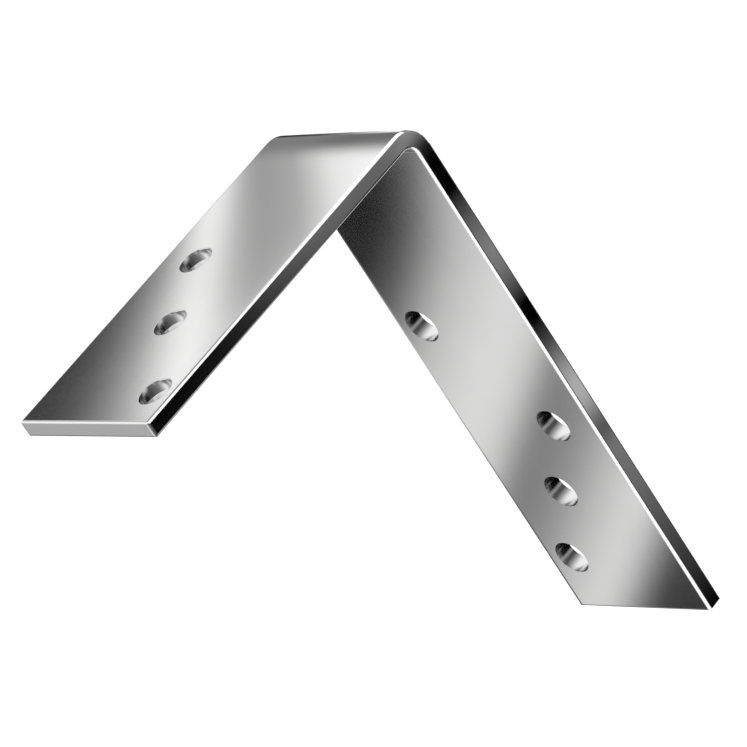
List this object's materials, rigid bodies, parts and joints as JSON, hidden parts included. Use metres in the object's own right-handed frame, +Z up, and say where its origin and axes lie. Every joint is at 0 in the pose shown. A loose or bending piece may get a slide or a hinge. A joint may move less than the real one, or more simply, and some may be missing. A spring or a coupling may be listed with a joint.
{
  "type": "angle bracket",
  "caption": "Right-angle steel strip bracket with one short and one long leg, a tight rounded bend and staggered screw holes in both legs.",
  "frame": {"origin": "middle of the long leg's underside, halfway between its end and the outer corner", "axes": "+X along the long leg from its end to the corner, +Z up along the short leg, -Y out of the front edge"},
  "size_m": [0.1, 0.03, 0.07],
  "materials": {
    "plated_steel": "polished"
  },
  "bodies": {
    "root": {"bracket": "plated_steel"}
  },
  "joints": []
}
